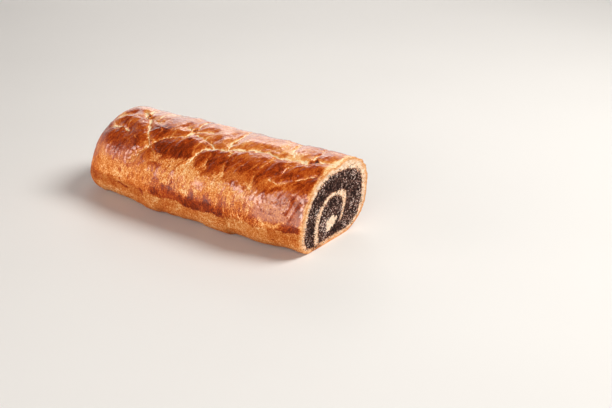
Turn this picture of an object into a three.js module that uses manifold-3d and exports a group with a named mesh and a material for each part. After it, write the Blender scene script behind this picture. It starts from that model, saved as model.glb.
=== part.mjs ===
// Half of a baked poppy seed roll, lying on its flat base with the cut face at +X.
// Millimetres, +Z up, +X along the roll toward the cut, origin at the bottom centre of the box.
import * as THREE from 'three';
import Module from 'manifold-3d';

const wasm = await Module();
wasm.setup();

// Overall size
const LENGTH = 207;
const HEIGHT = 55.4;
const WAIST = 24;
const BACK_REACH = 36.2;
const FRONT_REACH = 42.5;
const FRONT_BULGE = 2.2;
const BULGE_AT = 0.86;
const BULGE_WIDE = 0.06;
const FAR_SLIM = 7;
const CUT_SLIM = 5.2;

// Section shape: a power of 2 is an ellipse, a larger one is squarer
const CROWN_POWER = 2.2;
const FRONT_FOOT_POWER = 4.5;
const BACK_FOOT_POWER = 2.8;
const BASE_PRESS = 1.05;

// The two ends, angles in degrees
const FAR_DOME = 25.6;
const FAR_DOME_POWER = 2.5;
const FAR_DOME_LEVEL = 22;
const FAR_LEAN = 21.5;
const FAR_TURN = -17.7;
const CUT_LEAN = 8;
const CUT_TURN = -3;
const CUT_PAST = 0.045;
const CUT_ROUGH = 0.25;
const KNIFE_PITCH = 4;

// Dough ring round the filling, and the gap left between the two
const RING = 5.6;
const RING_VARY = 1.4;
const RING_THICK_AT = 60;
const FAR_WALL = 0.085;
const GAP = 0.3;

// Inner turn of dough at the cut: sideways place, height, half thickness, from root to tip
const TURN = [
  [-17.5, 1, 3.2],
  [-19.6, 9, 2.8],
  [-20.6, 18, 2.5],
  [-18.2, 27, 2.3],
  [-11.2, 33.3, 2.3],
  [-2.5, 34.2, 1.7],
  [6.5, 31, 2.4],
  [9.4, 24.5, 2.2],
  [8.7, 17.5, 1.6],
  [7.2, 12, 0.8],
];
const HEART = { side: -4.2, height: 14, wide: 5.4, tall: 4.3, tilt: 0.35, lump: 0.13 };
const NECK_HALF = 1.1;
const NECK_BEHIND_CUT = 6;
const TURN_STEPS = 34;

// Crust relief
const PUFF = 1.5;
const PUFF_REACH = 5.5;
const PLATE_LEVEL = 0.75;
const UNEVEN = 0.3;
const MM_PER_DEGREE = 0.68;

// Cracks over the crown: from and to, each a place along the roll and a girth angle in degrees
const CRACKS = [
  [-64, 92, -38, 135],
  [-38, 135, -47, 156],
  [-36, 134, -12, 116],
  [-12, 116, -10, 100],
  [-34, 136, -25, 146],
  [104, 93, 75, 102],
  [75, 102, 55, 105],
  [55, 105, 17, 116],
  [17, 116, 6, 143],
  [28, 112, 37, 145],
  [59, 118, 60, 154],
  [70, 134, 84, 139],
  [84, 139, 101, 121],
  [73, 118, 70, 134],
  [66, 85, 67, 106],
  [-97, 128, -75, 136],
];

// Prick holes along the crown: place along the roll, girth angle in degrees and radius
const PRICKS = [
  [-64, 92, 1.6],
  [-10, 100, 1.4],
  [27, 103, 1.2],
  [88, 103, 2.6],
];
const PRICK_DEPTH = 4;

// A crack runs down the back from each prick hole and from the crown near the cut
const BACK_CRACK_TURN = 42;
const BACK_CRACK_DRIFT = -8;
for (const [x, girth] of [...PRICKS, [66, 85]]) {
  CRACKS.push([x, girth, x + BACK_CRACK_DRIFT, girth - BACK_CRACK_TURN]);
}

// Grid of the skin
const AROUND = 66;
const DOME_ROWS = 8;
const LONG_ROWS = 40;
const FILL_AROUND = 40;
const FILL_ROWS = 14;

const rad = THREE.MathUtils.degToRad;
const clamp = THREE.MathUtils.clamp;
const smooth = (a, b, v) => THREE.MathUtils.smoothstep(v, a, b);

// Nearest distance on the unrolled crust from a place to a crack
function crackDistance(x, girth) {
  let best = 1e9;
  for (const [x0, g0, x1, g1] of CRACKS) {
    const ax = x1 - x0;
    const ag = (g1 - g0) * MM_PER_DEGREE;
    const bx = x - x0;
    const bg = (girth - g0) * MM_PER_DEGREE;
    const share = clamp((ax * bx + ag * bg) / (ax * ax + ag * ag), 0, 1);
    best = Math.min(best, Math.hypot(bx - ax * share, bg - ag * share));
  }
  return best;
}

// Raised plates between the cracks, and a slow unevenness over the whole crust
function relief(x, girth) {
  const crown = smooth(35, 105, girth) * (1 - smooth(140, 172, girth));
  const raised = 1 - Math.exp(-Math.pow(crackDistance(x, girth) / PUFF_REACH, 2));
  const plate = PUFF * crown * (raised - PLATE_LEVEL);
  const turn = rad(girth);
  const slow = Math.sin(x / 15 + 2 * turn) + 0.7 * Math.sin(x / 8.3 - 3 * turn + 1.7);
  return plate + UNEVEN * (slow + 0.5 * Math.sin(x / 27 + 5 * turn));
}

// Half width on the front side: slimmer toward both ends, with one bulge near the cut
function frontReach(along) {
  const bulge = FRONT_BULGE * Math.exp(-Math.pow((along - BULGE_AT) / BULGE_WIDE, 2));
  return FRONT_REACH + bulge - FAR_SLIM * (1 - smooth(0.1, 0.42, along)) - CUT_SLIM * smooth(0.82, 1, along);
}

// Place on the crust, or inside it by an inset, for a share of the length and a girth angle
function place(along, angle, inset, lifted) {
  const c = Math.cos(angle);
  const s = Math.sin(angle);
  const foot = c < 0 ? FRONT_FOOT_POWER : BACK_FOOT_POWER;
  const power = s >= 0 ? CROWN_POWER : foot;
  const r = Math.pow(Math.pow(Math.abs(c), power) + Math.pow(Math.abs(s), power), -1 / power);
  let y = (c >= 0 ? BACK_REACH : frontReach(along)) * c * r;
  let z = Math.max(0, WAIST + (s >= 0 ? HEIGHT - WAIST : WAIST * BASE_PRESS) * s * r);
  const girth = (THREE.MathUtils.radToDeg(angle) + 360) % 360;
  const reach = Math.hypot(y, z - WAIST);
  let grow = -inset;
  if (lifted) grow += relief((along - 0.5) * LENGTH, girth) * smooth(1, 9, z);
  y += (y / reach) * grow;
  z += ((z - WAIST) / reach) * grow;
  const u = clamp((along * LENGTH) / FAR_DOME, 0, 1);
  const shrink = Math.pow(1 - Math.pow(1 - u, FAR_DOME_POWER), 1 / FAR_DOME_POWER);
  y *= shrink;
  z = FAR_DOME_LEVEL + (z - FAR_DOME_LEVEL) * shrink;
  const toCut = clamp((along - 0.5) / 0.5, 0, 1);
  const toFar = clamp((0.5 - along) / 0.5, 0, 1);
  const rise = z - HEIGHT / 2;
  const x = (along - 0.5) * LENGTH
    + toCut * (Math.tan(rad(CUT_TURN)) * y + Math.tan(rad(CUT_LEAN)) * rise)
    + toFar * (Math.tan(rad(FAR_TURN)) * y + Math.tan(rad(FAR_LEAN)) * rise);
  return [x, y, z];
}

function ringThickness(angle) {
  return RING + RING_VARY * Math.cos(angle - rad(RING_THICK_AT));
}

function solid(points, faces) {
  return new wasm.Manifold(new wasm.Mesh({
    numProp: 3,
    vertProperties: new Float32Array(points.flat()),
    triVerts: new Uint32Array(faces.flat()),
  }));
}

// Closed tube through rings of equal count, each end closed by a fan to its own middle point
function loft(rings, startPoint, endPoint) {
  const count = rings[0].length;
  const points = rings.flat();
  const faces = [];
  for (let k = 0; k + 1 < rings.length; k += 1) {
    for (let j = 0; j < count; j += 1) {
      const a = k * count + j;
      const b = k * count + ((j + 1) % count);
      faces.push([a, b, b + count], [a, b + count, a + count]);
    }
  }
  const first = points.length;
  points.push(startPoint, endPoint);
  const last = (rings.length - 1) * count;
  for (let j = 0; j < count; j += 1) {
    const next = (j + 1) % count;
    faces.push([first, next, j], [first + 1, last + j, last + next]);
  }
  return solid(points, faces);
}

function centreOf(ring) {
  return [0, 1, 2].map((axis) => ring.reduce((sum, p) => sum + p[axis], 0) / ring.length);
}

function angles(count) {
  return Array.from({ length: count }, (_, j) => (2 * Math.PI * j) / count);
}

function makeSkin() {
  const rows = [];
  for (let k = 1; k <= DOME_ROWS; k += 1) {
    rows.push(((1 - Math.cos((Math.PI / 2) * (k / DOME_ROWS))) * FAR_DOME) / LENGTH);
  }
  const start = FAR_DOME / LENGTH;
  for (let k = 1; k <= LONG_ROWS; k += 1) {
    rows.push(start + ((1 + CUT_PAST - start) * k) / LONG_ROWS);
  }
  const rings = rows.map((along) => angles(AROUND).map((a) => place(along, a, 0, true)));
  return loft(rings, place(0, 0, 0, false), centreOf(rings[rings.length - 1]));
}

// Inside of the dough ring, or the filling when an inset is given
function makeCore(inset) {
  const rings = [];
  const start = FAR_WALL + inset / LENGTH;
  for (let k = 0; k <= FILL_ROWS; k += 1) {
    const along = start + (1 + CUT_PAST - start) * (k / FILL_ROWS);
    rings.push(angles(FILL_AROUND).map((a) => place(along, a, ringThickness(a) + inset, false)));
  }
  return loft(rings, centreOf(rings[0]), centreOf(rings[rings.length - 1]));
}

// Straight bar along X with a closed outline of side and height pairs
function bar(outline, x0, x1) {
  const flat = outline.map(([y, z]) => new THREE.Vector2(y, z));
  if (THREE.ShapeUtils.area(flat) < 0) flat.reverse();
  const steps = 6;
  const points = [];
  for (let k = 0; k <= steps; k += 1) {
    flat.forEach((p) => points.push([x0 + ((x1 - x0) * k) / steps, p.x, p.y]));
  }
  const count = flat.length;
  const faces = [];
  for (let k = 0; k < steps; k += 1) {
    for (let j = 0; j < count; j += 1) {
      const a = k * count + j;
      const b = k * count + ((j + 1) % count);
      faces.push([a, b, b + count], [a, b + count, a + count]);
    }
  }
  for (const [a, b, c] of THREE.ShapeUtils.triangulateShape(flat, [])) {
    faces.push([a, c, b], [a + steps * count, b + steps * count, c + steps * count]);
  }
  return solid(points, faces);
}

// Outline of the inner turn: both sides of a smooth line whose third value is its half thickness
function turnOutline(grow) {
  const line = new THREE.CatmullRomCurve3(TURN.map((p) => new THREE.Vector3(...p)), false, 'centripetal');
  const left = [];
  const right = [];
  for (let k = 0; k <= TURN_STEPS; k += 1) {
    const p = line.getPoint(k / TURN_STEPS);
    const along = line.getTangent(k / TURN_STEPS);
    const run = Math.hypot(along.x, along.y);
    const half = p.z + grow;
    left.push([p.x - (along.y / run) * half, p.y + (along.x / run) * half]);
    right.push([p.x + (along.y / run) * half, p.y - (along.x / run) * half]);
  }
  const tip = line.getPoint(1);
  const ahead = line.getTangent(1);
  const run = Math.hypot(ahead.x, ahead.y);
  const nose = [tip.x + (ahead.x / run) * (tip.z + grow), tip.y + (ahead.y / run) * (tip.z + grow)];
  return [...left, nose, ...right.reverse()];
}

function heartOutline(grow) {
  return angles(20).map((a) => {
    const lump = 1 + HEART.lump * Math.cos(3 * a + 0.5);
    const across = (HEART.wide * lump + grow) * Math.cos(a);
    const up = (HEART.tall * lump + grow) * Math.sin(a);
    const c = Math.cos(HEART.tilt);
    const s = Math.sin(HEART.tilt);
    return [HEART.side + across * c - up * s, HEART.height + across * s + up * c];
  });
}

function neckOutline(grow) {
  const tip = TURN[TURN.length - 1];
  const half = NECK_HALF + grow;
  const to = [HEART.side, HEART.height - 1];
  const up = half * 1.05;
  return [[to[0], to[1] - up], [tip[0], tip[1] - up], [tip[0], tip[1] + up], [to[0], to[1] + up]];
}

// All inner dough, which joins the ring at the root of the turn and at the far wall
function makeTurn(grow) {
  const x0 = -LENGTH / 2 + 8;
  const x1 = LENGTH / 2 + 14;
  const neckEnd = LENGTH / 2 - NECK_BEHIND_CUT + grow;
  return bar(turnOutline(grow), x0, x1)
    .add(bar(heartOutline(grow), x0, x1))
    .add(bar(neckOutline(grow), x0, neckEnd));
}

// Repeatable number from 0 to 1 for a pair of counts
function scatter(a, b) {
  const value = Math.sin(a * 12.9898 + b * 78.233) * 43758.5453;
  return value - Math.floor(value);
}

// Knife: a block whose near side is the leaning cut face, a little rough
function makeKnife() {
  const halfWide = 60;
  const low = -12;
  const high = 72;
  const columns = Math.round((2 * halfWide) / KNIFE_PITCH);
  const rows = Math.round((high - low) / KNIFE_PITCH);
  const points = [];
  for (let j = 0; j <= rows; j += 1) {
    for (let k = 0; k <= columns; k += 1) {
      const y = -halfWide + k * KNIFE_PITCH;
      const z = low + j * KNIFE_PITCH;
      const face = LENGTH / 2 + Math.tan(rad(CUT_TURN)) * y + Math.tan(rad(CUT_LEAN)) * (z - HEIGHT / 2);
      points.push([face + CUT_ROUGH * (2 * scatter(k, j) - 1), y, z]);
    }
  }
  const near = points.length;
  for (let k = 0; k < near; k += 1) {
    points.push([LENGTH, points[k][1], points[k][2]]);
  }
  const faces = [];
  const wide = columns + 1;
  for (let j = 0; j < rows; j += 1) {
    for (let k = 0; k < columns; k += 1) {
      const a = j * wide + k;
      faces.push([a, a + wide, a + wide + 1], [a, a + wide + 1, a + 1]);
      const b = near + a;
      faces.push([b, b + wide + 1, b + wide], [b, b + 1, b + wide + 1]);
    }
  }
  const wall = (a, b) => faces.push([a, b, near + b], [a, near + b, near + a]);
  for (let k = 0; k < columns; k += 1) {
    wall(k, k + 1);
    wall(rows * wide + k + 1, rows * wide + k);
  }
  for (let j = 0; j < rows; j += 1) {
    wall((j + 1) * wide, j * wide);
    wall(j * wide + columns, (j + 1) * wide + columns);
  }
  return solid(points, faces);
}

// Cone pointing into the crust, for one prick hole
function makePrick(x, girth, radius) {
  const angle = rad(girth);
  const along = x / LENGTH + 0.5;
  const top = new THREE.Vector3(...place(along, angle, 0, true));
  const deep = new THREE.Vector3(...place(along, angle, PRICK_DEPTH, true));
  const out = top.clone().sub(deep).normalize();
  const side = new THREE.Vector3(1, 0, 0).cross(out).normalize();
  const front = out.clone().cross(side);
  const mouth = top.clone().addScaledVector(out, 2);
  const wide = radius * (1 + 2 / PRICK_DEPTH);
  const rim = angles(8).map((a) => mouth.clone()
    .addScaledVector(side, wide * Math.cos(a))
    .addScaledVector(front, wide * Math.sin(a)));
  const points = [...rim, mouth, deep].map((p) => p.toArray());
  const faces = [];
  for (let k = 0; k < 8; k += 1) {
    const next = (k + 1) % 8;
    faces.push([8, k, next], [9, next, k]);
  }
  return solid(points, faces);
}

const knife = makeKnife();
let dough = makeSkin().subtract(makeCore(0)).add(makeTurn(0).intersect(makeCore(-1)));
dough = dough.subtract(knife);
for (const [x, girth, radius] of PRICKS) {
  dough = dough.subtract(makePrick(x, girth, radius));
}
const filling = makeCore(GAP).subtract(makeTurn(GAP)).subtract(knife);

function toMesh(body, name, colour) {
  const data = body.getMesh();
  const geometry = new THREE.BufferGeometry();
  geometry.setAttribute('position', new THREE.BufferAttribute(new Float32Array(data.vertProperties), 3));
  geometry.setIndex(new THREE.BufferAttribute(new Uint32Array(data.triVerts), 1));
  geometry.computeVertexNormals();
  const mesh = new THREE.Mesh(geometry, new THREE.MeshStandardMaterial({ color: colour, roughness: 0.6 }));
  mesh.name = name;
  return mesh;
}

const roll = new THREE.Group();
roll.name = 'poppy_seed_roll';
roll.add(toMesh(dough, 'dough', 0xb5702f));
roll.add(toMesh(filling, 'poppy_filling', 0x2b2320));

// Origin at the bottom centre of the box round the whole roll
const box = new THREE.Box3().setFromObject(roll);
const middle = box.getCenter(new THREE.Vector3());
for (const mesh of roll.children) {
  mesh.geometry.translate(-middle.x, -middle.y, -box.min.z);
}

export default roll;
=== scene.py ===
"""Half of a baked poppy seed roll: cracked egg-washed crust, pale crumb and dark poppy seed filling."""
import itertools
import math
from types import SimpleNamespace

import bmesh
import bpy
import numpy as np
from mathutils import Matrix, Vector
from mathutils.geometry import delaunay_2d_cdt


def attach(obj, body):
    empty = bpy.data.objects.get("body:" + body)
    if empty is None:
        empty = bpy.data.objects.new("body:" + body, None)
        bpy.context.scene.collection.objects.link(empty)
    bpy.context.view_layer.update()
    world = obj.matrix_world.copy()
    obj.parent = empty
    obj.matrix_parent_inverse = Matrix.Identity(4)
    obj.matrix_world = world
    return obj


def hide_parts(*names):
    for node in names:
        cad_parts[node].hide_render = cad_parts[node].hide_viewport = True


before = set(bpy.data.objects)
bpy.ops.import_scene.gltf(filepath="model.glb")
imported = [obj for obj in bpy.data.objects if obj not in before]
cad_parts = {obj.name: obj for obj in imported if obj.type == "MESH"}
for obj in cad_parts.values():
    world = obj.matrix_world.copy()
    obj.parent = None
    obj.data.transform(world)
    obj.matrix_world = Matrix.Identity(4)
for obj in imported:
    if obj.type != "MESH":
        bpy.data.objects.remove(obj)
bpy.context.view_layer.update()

# Sizes below are in millimetres and girth angles in degrees; meshes are made in metres
MM = 0.001

# Overall shape, as in the solids
LENGTH = 207.0
HEIGHT = 55.4
WAIST = 24.0
BACK_REACH = 36.2
FRONT_REACH = 42.5
FRONT_BULGE = 2.2
BULGE_AT = 0.86
BULGE_WIDE = 0.06
FAR_SLIM = 7.0
CUT_SLIM = 5.2
CROWN_POWER = 2.2
FRONT_FOOT_POWER = 4.5
BACK_FOOT_POWER = 2.8
BASE_PRESS = 1.05
FAR_DOME = 25.6
FAR_DOME_POWER = 2.5
FAR_DOME_LEVEL = 22.0
FAR_LEAN = math.tan(math.radians(21.5))
FAR_TURN = math.tan(math.radians(-17.7))
CUT_LEAN = math.tan(math.radians(8.0))
CUT_TURN = math.tan(math.radians(-3.0))

# Middle of the solids' box, from the middle of the roll's length and section
BOX_MIDDLE = np.array([-1.858, -3.732, 0.0])

# Dough ring, inner turn (sideways place, height, half thickness) and heart at the cut
RING = 5.6
RING_VARY = 1.4
RING_THICK_AT = math.radians(60.0)
TURN = np.array([
    (-17.5, 1.0, 3.2),
    (-19.6, 9.0, 2.8),
    (-20.6, 18.0, 2.5),
    (-18.2, 27.0, 2.3),
    (-11.2, 33.3, 2.3),
    (-2.5, 34.2, 1.7),
    (6.5, 31.0, 2.4),
    (9.4, 24.5, 2.2),
    (8.7, 17.5, 1.6),
    (7.2, 12.0, 0.8),
])
HEART_SIDE, HEART_HEIGHT = -4.2, 14.0
HEART_WIDE, HEART_TALL = 6.0, 4.8
HEART_TILT = 0.35
HEART_LUMP = 0.13
HEART_ROUGH = 1.8
SEAM_GAP = 0.1
SEAM_WAVER = 0.45
CORE_END = 30.0

# Outlines at the cut, in the order that they are given in
RIM, CORE, INNER_TURN, HEART = range(4)
DOUGH_IN_CORE = {INNER_TURN, HEART}

# Cracks over the crown: from and to as place along the roll and girth angle, and half width
CRACKS = [
    # Tear by the hole at the far end, its crack down to a fork, and the fork's branches
    (-70, 87, -63, 99, 1.9),
    (-60, 98, -51, 114, 1.5),
    (-51, 114, -48, 121, 1.5),
    (-48, 121, -37, 136, 0.8),
    (-56, 99, -44, 104, 0.7),
    (-37, 136, -48, 156, 0.9),
    (-35, 137, -25, 146, 0.5),
    (-37, 136, -25, 120, 0.7),
    (-24, 121, -12, 115, 0.6),
    (-12, 115, -9, 104, 0.9),
    # Round the second hole
    (-18, 99, -10, 101, 0.7),
    (-7, 104, 4, 96, 0.7),
    (-5, 108, 13, 110, 0.8),
    (13, 110, 20, 118, 0.9),
    # Main crack along the crown, and what runs down from it
    (7, 144, 13, 121, 0.8),
    (13, 121, 28, 114, 1.2),
    (28, 114, 49, 106, 1.3),
    (49, 106, 67, 107, 1.0),
    (67, 107, 86, 103, 0.7),
    (86, 103, 104, 94, 1.0),
    (26, 103, 29, 114, 0.9),
    (-4, 148, 3, 141, 0.6),
    (21, 129, 23, 143, 0.4),
    (34, 118, 37, 146, 0.5),
    (63, 110, 62, 153, 0.4),
    # Towards the cut
    (78, 119, 77, 129, 0.6),
    (77, 129, 71, 137, 0.5),
    (71, 137, 80, 139, 0.6),
    (80, 139, 101, 122, 0.7),
    (64, 81, 68, 94, 0.6),
    (68, 94, 74, 102, 0.5),
    (96.2, 158, 92.6, 175, 0.5),
    (89.5, 155, 88.5, 170, 0.4),
    # Over the far end
    (-93, 125, -81, 124, 1.1),
    (-81, 124, -67, 127, 0.7),
    (-92, 109, -81, 98, 0.8),
    # Short wide tears and crumbs stuck to the crust
    (-90, 126, -87, 127, 1.5),
    (82, 106, 85, 108, 1.4),
    (102, 96, 104, 100, 1.8),
    (97.7, 121, 97.9, 121.5, 0.7),
    (83.2, 131, 83.4, 131.5, 0.6),
]
# Brushed islands of wash on the sides: from and to, half width, and strength from 0 to 1
ISLANDS = [
    (-50, 167, -35, 156, 2.6, 0.9),
    (-27, 155, -16, 155, 1.8, 0.9),
    (-85, 198, -78, 200, 1.4, 0.8),
    (-59, 198, -50, 202, 1.5, 0.8),
    (-34, 195, -29.5, 201, 1.6, 0.9),
    (-41, 167, -37, 170, 1.0, 0.6),
    (-5.5, 150, -6, 155, 1.1, 0.6),
    (-16, 174, -7, 181, 3.0, 0.6),
    (0.7, 167, -2.6, 184, 0.9, 0.7),
    (83, 209, 85, 209.5, 0.9, 0.7),
]
# Dark strokes and ticks across the glossy patch by the cut, in the same form
STROKES = [
    (92.7, 153, 93.1, 161, 1.5, 1.0),
    (93.1, 161, 90.7, 173, 1.2, 1.0),
    (97.8, 160, 96, 169, 1.3, 1.0),
    (96, 169, 93.6, 180, 1.0, 0.8),
    (71.5, 161.5, 72.3, 164.5, 0.6, 1.0),
    (80.3, 162.5, 81.2, 159.5, 0.5, 1.0),
    (82, 161, 83.5, 159, 0.5, 0.9),
    (85.8, 157, 86.3, 163, 0.6, 0.9),
]
# Raised rims of the plates under the cracks: from and to, half width, and height
RIDGES = [
    (-6.5, 126, -5.5, 120, 1.8, 0.9),
    (-5.5, 120, -1, 114, 1.8, 1.0),
    (14, 131, 17, 126, 1.8, 0.9),
    (17, 126, 23, 122, 1.8, 1.0),
    (36, 127, 38, 121, 1.6, 0.8),
    (39, 124, 46, 117, 1.8, 0.9),
    (48.4, 142, 51.3, 134, 1.3, 0.6),
    (27, 143, 29, 138, 1.3, 0.5),
    (82.4, 122, 87.8, 115, 1.3, 0.6),
    (-50, 108, -34, 113, 1.9, 0.4),
    (-80, 110, -68, 108, 1.9, 0.4),
    (-46, 124, -37, 116, 1.5, 0.6),
]
# Prick holes: place along the roll, girth angle and radius; a crack runs down the back from each
PRICKS = [(-64, 92, 1.9), (-10, 100, 1.4), (27, 103, 1.2), (88, 103, 2.4)]
BACK_CRACK_TURN = 42
BACK_CRACK_DRIFT = -8
BACK_CRACK_HALF = 0.8
BACK_CRACKS = [(x, g) for x, g, _ in PRICKS] + [(66, 85)]
CRACKS += [(x, g, x + BACK_CRACK_DRIFT, g - BACK_CRACK_TURN, BACK_CRACK_HALF) for x, g in BACK_CRACKS]
PRICK_DEPTH = 2.6
PRICK_STRETCH = 1.35

# Relief and layout of the crust; a fall is an angle down from the top
MM_PER_DEGREE = 0.68
RUMPLE_REACH = 4.5
PUFF = 2.5
PUFF_REACH = 5.0
PLATE_LEVEL = 0.75
UNEVEN = 0.3
GROOVE = 0.5
FRAY = 0.45
LEDGE = 0.55
FOOT_WAVE = 1.5
SLANT = 0.45
SLANT_OF_GRAIN = 0.2
CROWN_EDGE_FALL = 57
LOW_EDGE_FALL = 105.5
BASE_GIRTH = 260
PATCH_FROM = 66
DARKEST_WASH = 0.76
FAR_AWAY = 1e3

# Point values that the crust's material reads
CRUST_VALUES = ("wash", "glaze", "sheen", "film", "bare", "washed", "drawn", "shade", "crack", "pit")

# Mesh fineness, and the angles in degrees past which edges are sharp
SKIN_AROUND = 310
SKIN_DOME_ROWS = 34
SKIN_LONG_ROWS = 236
LOOP_PITCH = 0.5
CRUMB_PITCH = 0.75
FILLING_PITCH = 0.5
DOUGH_SHARP = 42
FILLING_SHARP = 50
SEED_SHARP = 80

# Poppy seeds: half length, proportions, bend, and how far from a seam the strayed ones lie
SEED_COUNT = 3600
SEED_SIZE = 0.41
SEED_FORM = [0.72, 1.0, 0.82]
SEED_BEND = 0.35
STRAY_COUNT = 340
STRAY_REACH = 0.8

# Grains of the filling, to a metre
GRAINS = 1150.0

# Camera, worked out from the photograph's 612 by 408 frame
IMAGE_WIDE = 612
FOCAL_PIXELS = 1128.3
SENSOR = 36.0
CAMERA_AZIMUTH = math.radians(37.268)
CAMERA_ELEVATION = math.radians(21.667)
CAMERA_DISTANCE = 765.9
CAMERA_RIGHT = 64.7
CAMERA_DOWN = -25.0
AIM = np.array([0.0, -3.0, 28.8])

# Lights: name, place and width in metres, power in watts, and colour
LIGHTS = [
    ("key_right", (0.62, 0.45, 0.92), 0.6, 13.5, (1.0, 0.97, 0.93)),
    ("front_fill", (0.40, -1.00, 0.45), 0.8, 4.6, (1.0, 0.98, 0.96)),
    ("low_front_left", (-0.70, -1.00, 0.14), 0.75, 8.2, (1.0, 0.88, 0.81)),
    ("glint_behind", (-0.75, 0.90, 0.66), 0.25, 0.6, (1.0, 0.96, 0.93)),
    ("panel_behind", (-0.75, 1.00, 0.50), 1.2, 3.4, (1.0, 0.95, 0.91)),
]
LIGHT_AIM = (0, 0, 0.03)
FLOOR_HALF = 4.0


def smooth(low, high, value):
    """Rises from 0 at low to 1 at high."""
    t = np.clip((value - low) / (high - low), 0, 1)
    return t * t * (3 - 2 * t)


def fade(low, high, value):
    """Falls from 1 at low to 0 at high."""
    return 1 - smooth(low, high, value)


def bell(value, width, middle=0.0):
    """1 at the middle, and next to nothing a few widths away."""
    return np.exp(-((value - middle) / width) ** 2)


def lattice(cell, seed):
    """Repeatable numbers from -1 to 1 at whole-number places."""
    h = cell[..., 0] * 374761393 + cell[..., 1] * 668265263 + cell[..., 2] * 1274126177 + seed * 974711
    h = (h ^ (h >> 13)) & 0xFFFFFFFF
    h = (h * 1274126177) & 0xFFFFFFFF
    h = h ^ (h >> 16)
    return (h & 0xFFFF) / 32767.5 - 1


def noise(points, size, seed=0):
    """Smooth noise from -1 to 1 with bumps about as wide as size."""
    q = points / size
    cell = np.floor(q).astype(np.int64)
    f = q - cell
    f = f * f * f * (f * (f * 6 - 15) + 10)
    total = np.zeros(points.shape[:-1])
    for corner in itertools.product((0, 1), repeat=3):
        weight = np.prod(np.where(np.array(corner) == 1, f, 1 - f), axis=-1)
        total += weight * lattice(cell + np.array(corner), seed)
    return total


def fractal(points, size, seed=0, octaves=3):
    """Noise with finer and weaker noise on it."""
    return sum(noise(points, size / 2**k, seed + k) / 2**k for k in range(octaves))


def veins(low, high, value):
    """Thin lines where a noise passes through zero."""
    return smooth(low, high, 1 - np.abs(value))


def on_line(x):
    return np.stack([x, np.zeros_like(x), np.zeros_like(x)], axis=-1)


def on_plane(flat):
    """Points of two numbers as points of three."""
    return np.concatenate([flat, np.zeros((len(flat), 1))], axis=1)


def unrolled(x, girth):
    """Points on the flattened crust: along the roll, and round it, in millimetres."""
    return np.stack([x, girth * MM_PER_DEGREE, np.zeros_like(x)], axis=-1)


def slanted(flat, slope):
    """The flattened crust turned so that its first direction runs across stretch marks of a slope."""
    along, around = flat[..., 0], flat[..., 1]
    return np.stack([along + slope * around, around - slope * along, flat[..., 2]], axis=-1)


class Crust:
    """Points of the crust, with shares from 0 to 1 and noises by where on it they lie.

    Shares go by fall (below, above) or by place along the roll (cutward, farward). Noises are round in space
    (blotch) or on the flattened crust (mottle), or drawn out along the stretch marks or round the roll.
    """

    def __init__(self, x, girth, fall, spot):
        self.x = x
        self.girth = girth
        self.around = girth * MM_PER_DEGREE
        self.fall = fall
        self.spot = spot
        self.flat = unrolled(x, girth)
        self.slant = slanted(self.flat, SLANT)

    def below(self, start, full):
        return smooth(start, full, self.fall)

    def above(self, full, end):
        return fade(full, end, self.fall)

    def cutward(self, start, full):
        return smooth(start, full, self.x)

    def farward(self, start, full):
        return smooth(start, full, -self.x)

    def blotch(self, size, seed):
        return noise(self.spot, size, seed)

    def mottle(self, size, seed):
        return noise(self.flat, size, seed)

    def streak(self, across, along, seed, octaves=1):
        return fractal(self.slant / [across, along, 1], 1, seed, octaves)

    def stroke(self, across, along, seed, octaves=1, size=1):
        return fractal(self.flat / [across, along, 1], size, seed, octaves)


def crack_waver(at, seed):
    wide = 0.9 * at.mottle(11, seed) + 0.9 * at.mottle(4, seed + 1)
    return wide + 0.5 * at.mottle(1.5, seed + 2)


def line_distance(x, around, mark):
    """Distance on the flattened crust to the line that a crack or mark is drawn along."""
    x0, g0, x1, g1 = mark[:4]
    ax, ag = x1 - x0, (g1 - g0) * MM_PER_DEGREE
    bx, bg = x - x0, around - g0 * MM_PER_DEGREE
    share = np.clip((ax * bx + ag * bg) / (ax * ax + ag * ag), 0, 1)
    return np.hypot(bx - ax * share, bg - ag * share)


def mark_share(at, marks, seed):
    """Share from 0 to 1 of ragged marks."""
    ragged = 0.35 * at.mottle(5, seed) + 0.35 * at.stroke(1.2, 2.4, seed + 1)
    total = np.zeros(at.x.shape)
    for mark in marks:
        half, strength = mark[4:]
        d = line_distance(at.x, at.around, mark) / half
        total = np.maximum(total, strength * fade(0.6, 1.3, d + ragged))
    return total


def ridge_heights(at):
    """Height of the raised plate rims in millimetres, and the rumpled crust round them from 0 to 1."""
    px = at.x + 0.8 * at.mottle(5, 91) + 0.5 * at.mottle(2, 92)
    around = at.around + 0.8 * at.mottle(5, 93) + 0.5 * at.mottle(2, 94)
    total = np.zeros(at.x.shape)
    rumple = np.zeros(at.x.shape)
    for mark in RIDGES:
        half, height = mark[4:]
        d = line_distance(px, around, mark)
        total = np.maximum(total, height * bell(d, half))
        rumple = np.maximum(rumple, height * bell(d, RUMPLE_REACH))
    return total, np.minimum(rumple, 1)


def crack_fields(at):
    """Distance to the nearest crack in its half widths, and shares of its pale line and of its valley."""
    vary = np.maximum(0.55 + 0.5 * at.mottle(7, 22) + 0.35 * at.mottle(2.2, 28), 0.2)
    px = at.x + crack_waver(at, 1)
    around = at.around + crack_waver(at, 4)
    widths = np.full(at.x.shape, FAR_AWAY)
    line = np.zeros(at.x.shape)
    valley = np.zeros(at.x.shape)
    for mark in CRACKS:
        half = mark[4]
        d = line_distance(px, around, mark)
        widths = np.minimum(widths, d / half)
        line = np.maximum(line, min(0.2 + 0.55 * half, 1) * bell(d, max(half, 0.6) * vary))
        valley = np.maximum(valley, min(half, 1) * bell(d, PUFF_REACH))
    return widths, line, valley


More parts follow.
